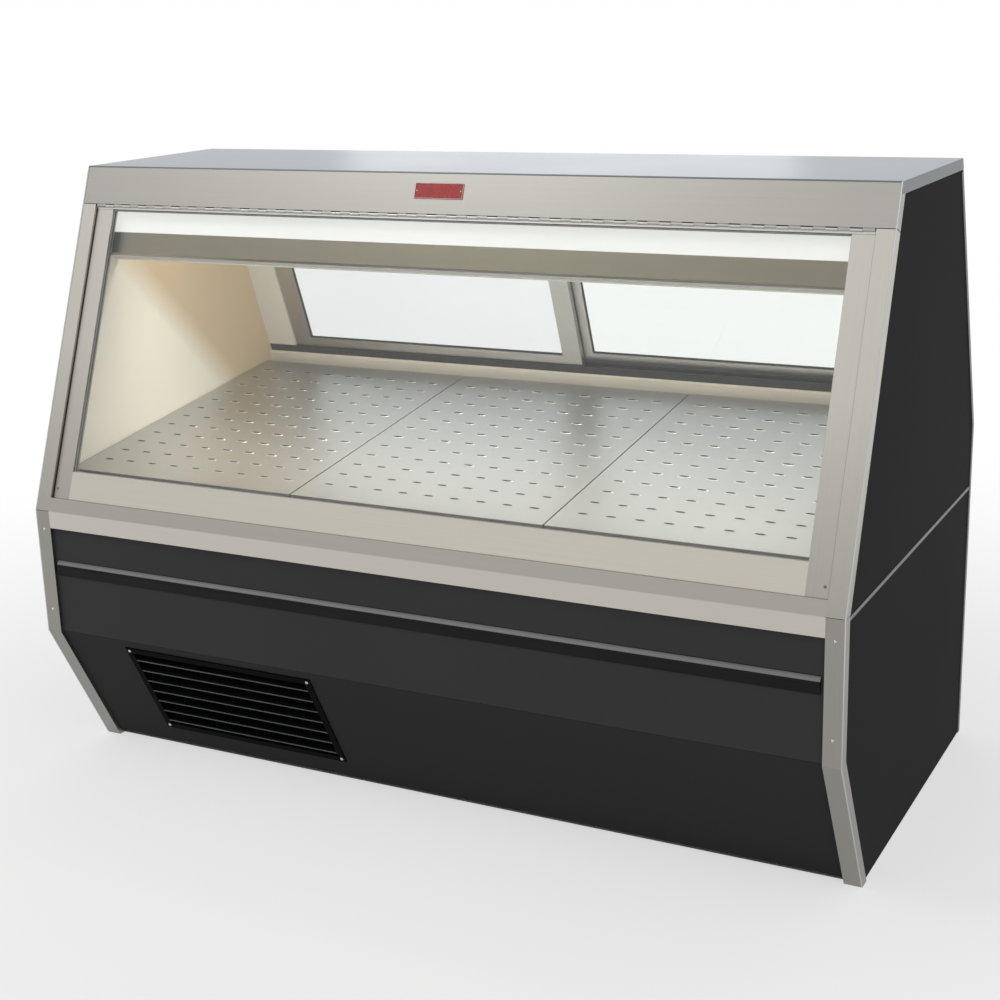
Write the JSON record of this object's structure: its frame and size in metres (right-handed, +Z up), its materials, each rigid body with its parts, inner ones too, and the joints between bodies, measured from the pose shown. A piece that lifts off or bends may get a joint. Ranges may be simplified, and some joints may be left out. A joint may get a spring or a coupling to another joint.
{
  "type": "refrigerated service case",
  "caption": "Floor-standing refrigerated service case with a slanted lift-up front glass, sliding rear doors, a lit canopy, lift-out deck pans and a condensing unit in its black base.",
  "frame": {"origin": "on the floor under the middle of the case", "axes": "+X to the right seen from the customer side, -Y is the glass front, +Z up"},
  "size_m": [1.905, 0.99, 1.372],
  "materials": {
    "stainless": "brushed",
    "bright_trim": "satin anodised",
    "hinge": "mill",
    "black_panel": "satin",
    "gloss_black": "gloss",
    "bumper": "satin",
    "white_liner": "satin",
    "clear_glass": "polished",
    "door_glass": "polished",
    "opal": "opal",
    "lamp_tube": "coated",
    "white_plastic": "satin",
    "foam": "foam",
    "galvanised": "galvanised",
    "black_steel": "satin",
    "black_plastic": "satin",
    "coil": "mill",
    "copper": "drawn"
  },
  "bodies": {
    "case": {"lower_end_panels": "black_panel", "upper_end_panels": "black_panel", "end_liners": "white_liner", "end_trims": "bright_trim", "upper_posts": "stainless", "lower_posts": "stainless", "canopy_top": "stainless", "header_fascia": "stainless", "lamp_housing": "white_liner", "lamp_diffuser": "opal", "lamp_valance": "stainless", "lamp_tubes": "lamp_tube", "lamp_sockets": "white_plastic", "canopy_ceiling": "white_liner", "header_hinge_leaf": "hinge", "hinge_pin": "hinge", "front_sill": "stainless", "front_panel": "black_panel", "bumper_rail": "bumper", "kick_panel": "black_panel", "intake_grille": "gloss_black", "tub_shell": "galvanised", "tub_liner": "white_liner", "insulation": "foam", "drain_fitting": "white_plastic", "deck_rails": "stainless", "evaporator_coil": "coil", "fan_plenum": "galvanised", "lower_door_track": "black_plastic", "upper_door_track": "bright_trim", "door_jambs": "white_plastic", "rear_panel": "stainless", "rear_access_panel": "black_panel", "control_panel": "black_panel", "cord_gland": "black_plastic", "control_box": "galvanised", "base_frame": "black_steel", "machine_tray": "galvanised", "condenser_coil": "coil", "fan_shroud": "galvanised", "fan_motors": "black_steel", "compressor": "black_steel", "receiver": "black_steel", "refrigerant_lines": "copper"},
    "front_window": {"glass_hinge_leaf": "hinge", "front_glass": "clear_glass", "glass_stiles": "stainless", "glass_rails": "stainless"},
    "left_door": {"left_door_frame": "bright_trim", "left_door_pane": "door_glass"},
    "right_door": {"right_door_frame": "bright_trim", "right_door_pane": "door_glass"},
    "left_pan": {"left_deck_pan": "stainless"},
    "middle_pan": {"middle_deck_pan": "stainless"},
    "right_pan": {"right_deck_pan": "stainless"},
    "condenser_rotor": {"condenser_fan": "black_plastic"},
    "left_evaporator_rotor": {"left_evaporator_fan": "black_plastic"},
    "right_evaporator_rotor": {"right_evaporator_fan": "black_plastic"},
    "lamp_rocker": {"light_switch": "black_plastic"},
    "thermostat_dial": {"thermostat_knob": "black_plastic"}
  },
  "joints": [
    {"name": "window_lift", "type": "hinge", "parent": "case", "child": "front_window", "pos_m": [0, -0.23069, 1.28487], "axis": [-1, 0, 0], "range_deg": [0, 65]},
    {"name": "left_door_slide", "type": "slide", "parent": "case", "child": "left_door", "axis": [1, 0, 0], "range_m": [0, 0.8]},
    {"name": "right_door_slide", "type": "slide", "parent": "case", "child": "right_door", "axis": [1, 0, 0], "range_m": [-0.8, 0]},
    {"name": "left_pan_lift", "type": "slide", "parent": "case", "child": "left_pan", "axis": [0, 0, 1], "range_m": [0, 0.06]},
    {"name": "middle_pan_lift", "type": "slide", "parent": "case", "child": "middle_pan", "axis": [0, 0, 1], "range_m": [0, 0.06]},
    {"name": "right_pan_lift", "type": "slide", "parent": "case", "child": "right_pan", "axis": [0, 0, 1], "range_m": [0, 0.06]},
    {"name": "condenser_fan_spin", "type": "hinge", "parent": "case", "child": "condenser_rotor", "pos_m": [-0.488, -0.152, 0.1895], "axis": [0, 1, 0], "continuous": true},
    {"name": "left_evaporator_fan_spin", "type": "hinge", "parent": "case", "child": "left_evaporator_rotor", "pos_m": [-0.38, -0.08, 0.633], "axis": [0, 1, 0], "continuous": true},
    {"name": "right_evaporator_fan_spin", "type": "hinge", "parent": "case", "child": "right_evaporator_rotor", "pos_m": [0.38, -0.08, 0.633], "axis": [0, 1, 0], "continuous": true},
    {"name": "light_switch_rock", "type": "hinge", "parent": "case", "child": "lamp_rocker", "pos_m": [0.58, 0.468, 0.4325], "axis": [-1, 0, 0], "range_deg": [0, 20]},
    {"name": "thermostat_turn", "type": "hinge", "parent": "case", "child": "thermostat_dial", "pos_m": [0.69, 0.472, 0.4325], "axis": [0, 1, 0], "range_deg": [0, 270]}
  ]
}
